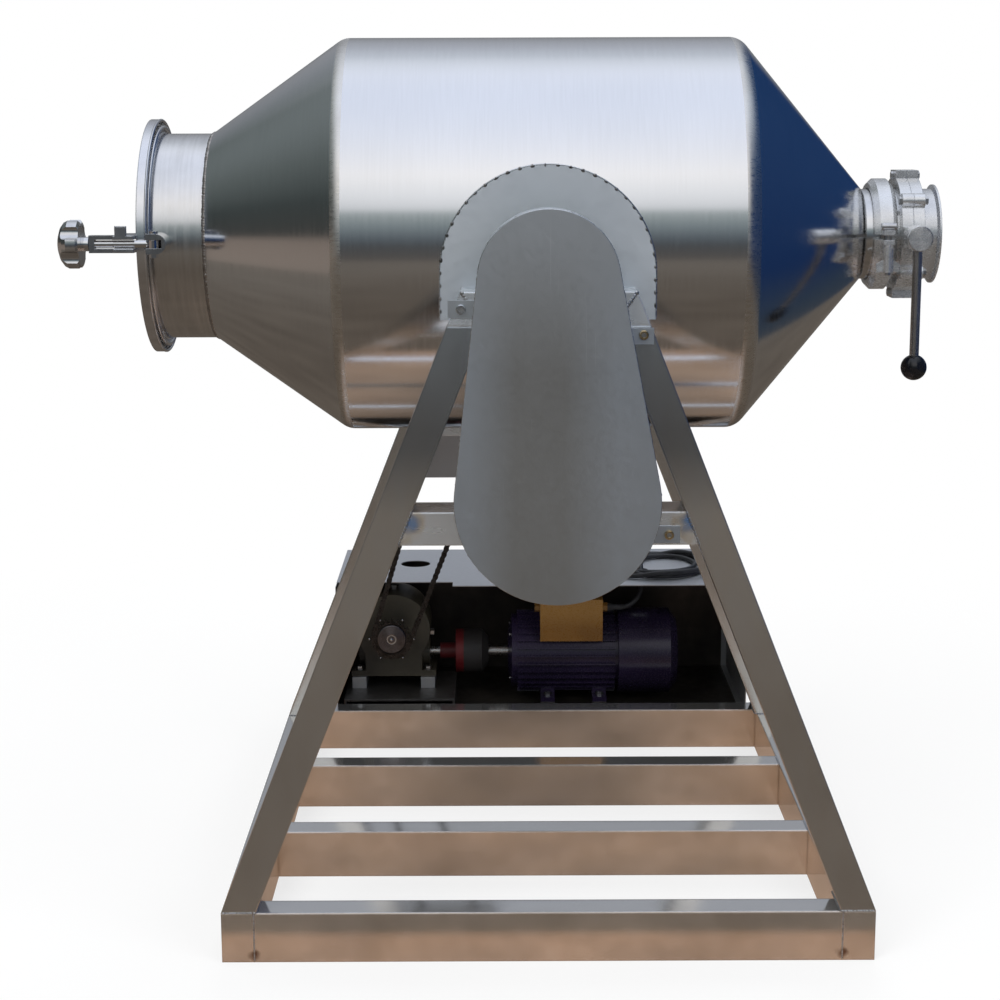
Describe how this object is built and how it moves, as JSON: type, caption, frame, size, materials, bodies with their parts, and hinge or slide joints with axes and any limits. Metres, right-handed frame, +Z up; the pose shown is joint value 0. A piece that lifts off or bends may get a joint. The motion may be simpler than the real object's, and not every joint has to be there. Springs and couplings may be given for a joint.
{
  "type": "tumbler blender",
  "caption": "Double-cone tumbler blender: a stainless drum with a clamped lid and a butterfly valve turns on trunnions between A-frames, driven by chain from a worm gearbox and motor.",
  "frame": {"origin": "on the floor, under the middle of the whole machine's outline", "axes": "+X along the drum from its lid to its outlet, +Y from the front A-frame back to the motor, +Z up"},
  "size_m": [1.4496, 1.596, 1.41],
  "materials": {
    "frame_steel": "satin stainless tube",
    "bare_steel": "machined steel",
    "drum_steel": "finely brushed stainless sheet",
    "guard_steel": "matt stainless sheet",
    "bearing_paint": "dark green cast housing",
    "gearbox_paint": "dark olive paint",
    "motor_paint": "dark blue paint",
    "box_paint": "ochre paint",
    "red_paint": "dark red paint",
    "black_rubber": "matt black",
    "black_plastic": "smooth black",
    "white_rubber": "food-grade white",
    "polished_steel": "polished stainless",
    "oiled_steel": "oiled dark steel"
  },
  "bodies": {
    "frame": {"base_side_rails": "frame_steel", "base_cross_rails": "frame_steel", "front_legs": "frame_steel", "rear_legs": "frame_steel", "frame_crossbars": "frame_steel", "frame_top_bars": "frame_steel", "bearing_housings": "bearing_paint", "bearing_outer_rings": "bare_steel", "bearing_balls": "bare_steel", "bearing_bolts": "bare_steel", "front_shroud": "guard_steel", "front_guard": "guard_steel", "guard_bolts": "bare_steel", "chain_guard": "guard_steel", "housing_top": "guard_steel", "housing_walls": "guard_steel", "housing_floor": "frame_steel", "drive_mounts": "frame_steel", "gearbox_body": "gearbox_paint", "motor_body": "motor_paint", "motor_fan_cover": "motor_paint", "terminal_box": "box_paint", "drive_bolts": "bare_steel", "cable_lead": "black_rubber", "cable_coil": "black_rubber", "drive_chain": "oiled_steel"},
    "drum": {"drum_cylinder": "drum_steel", "loading_cone": "drum_steel", "discharge_cone": "drum_steel", "loading_neck": "drum_steel", "discharge_ferrule": "polished_steel", "trunnions": "drum_steel", "bearing_inner_rings": "bare_steel", "drum_sprocket": "oiled_steel", "clamp_clevises": "polished_steel", "clamp_pins": "polished_steel", "valve_clamp": "polished_steel", "valve_body": "polished_steel", "valve_seat": "white_rubber", "valve_bolts": "bare_steel"},
    "wing_nut": {"valve_wing_nut": "polished_steel"},
    "valve": {"valve_disc": "polished_steel", "valve_hub": "polished_steel"},
    "handle": {"handle_rod": "polished_steel", "handle_ball": "black_plastic"},
    "lid": {"lid": "drum_steel", "lid_gasket": "white_rubber", "front_clamp_bolt": "polished_steel"},
    "front_clamp_yoke": {"front_yoke": "polished_steel"},
    "front_clamp_knob": {"front_knob": "polished_steel"},
    "rear_clamp": {"rear_clamp_bolt": "polished_steel"},
    "rear_clamp_yoke": {"rear_yoke": "polished_steel"},
    "rear_clamp_knob": {"rear_knob": "polished_steel"},
    "output": {"output_shaft": "bare_steel", "drive_sprocket": "oiled_steel"},
    "rotor": {"worm_shaft": "bare_steel", "gearbox_coupling": "red_paint", "motor_coupling": "black_rubber", "motor_rotor": "bare_steel"}
  },
  "joints": [
    {"name": "drum_spin", "type": "hinge", "parent": "frame", "child": "drum", "pos_m": [0.0548, -0.178, 1.08], "axis": [0, 1, 0], "continuous": true, "deforming": ["drive_chain"]},
    {"name": "output_spin", "type": "hinge", "parent": "frame", "child": "output", "pos_m": [-0.2432, 0.557, 0.2063], "axis": [0, 1, 0], "continuous": true},
    {"name": "rotor_spin", "type": "hinge", "parent": "frame", "child": "rotor", "pos_m": [-0.0952, 0.557, 0.1463], "axis": [1, 0, 0], "continuous": true},
    {"name": "valve_turn", "type": "hinge", "parent": "drum", "child": "valve", "pos_m": [0.6748, -0.178, 1.08], "axis": [0, -1, 0], "range_deg": [0, 90]},
    {"name": "handle_pull", "type": "slide", "parent": "valve", "child": "handle", "axis": [0, 0, -1], "range_m": [0, 0.008], "stiffness_N_per_m": 1500, "springref_m": -0.008},
    {"name": "wing_nut_turn", "type": "hinge", "parent": "drum", "child": "wing_nut", "pos_m": [0.6308, -0.284, 1.045], "axis": [0, 0, 1], "continuous": true},
    {"name": "lid_swing", "type": "hinge", "parent": "drum", "child": "lid", "pos_m": [-0.5732, -0.389, 1.08], "axis": [0, 0, 1], "range_deg": [0, 110]},
    {"name": "front_yoke_slide", "type": "slide", "parent": "lid", "child": "front_clamp_yoke", "axis": [-1, 0, 0], "range_m": [0, 0.005]},
    {"name": "front_knob_turn", "type": "hinge", "parent": "front_clamp_yoke", "child": "front_clamp_knob", "pos_m": [-0.6952, -0.389, 1.08], "axis": [-1, 0, 0], "range_deg": [0, 1028]},
    {"name": "rear_clamp_swing", "type": "hinge", "parent": "drum", "child": "rear_clamp", "pos_m": [-0.5732, 0.033, 1.08], "axis": [0, 0, 1], "range_deg": [0, 100]},
    {"name": "rear_yoke_slide", "type": "slide", "parent": "rear_clamp", "child": "rear_clamp_yoke", "axis": [0.1736, 0.9848, 0], "range_m": [-0.005, 0]},
    {"name": "rear_knob_turn", "type": "hinge", "parent": "rear_clamp_yoke", "child": "rear_clamp_knob", "pos_m": [-0.5732, 0.033, 1.08], "axis": [0.1736, 0.9848, 0], "range_deg": [-1028, 0]}
  ],
  "couplings": [
    {"joint": "output_spin", "follows": "drum_spin", "ratio": 2},
    {"joint": "rotor_spin", "follows": "drum_spin", "ratio": 100},
    {"joint": "front_yoke_slide", "follows": "front_knob_turn", "m_per_rad": 0.00027852},
    {"joint": "rear_yoke_slide", "follows": "rear_knob_turn", "m_per_rad": 0.00027852}
  ]
}
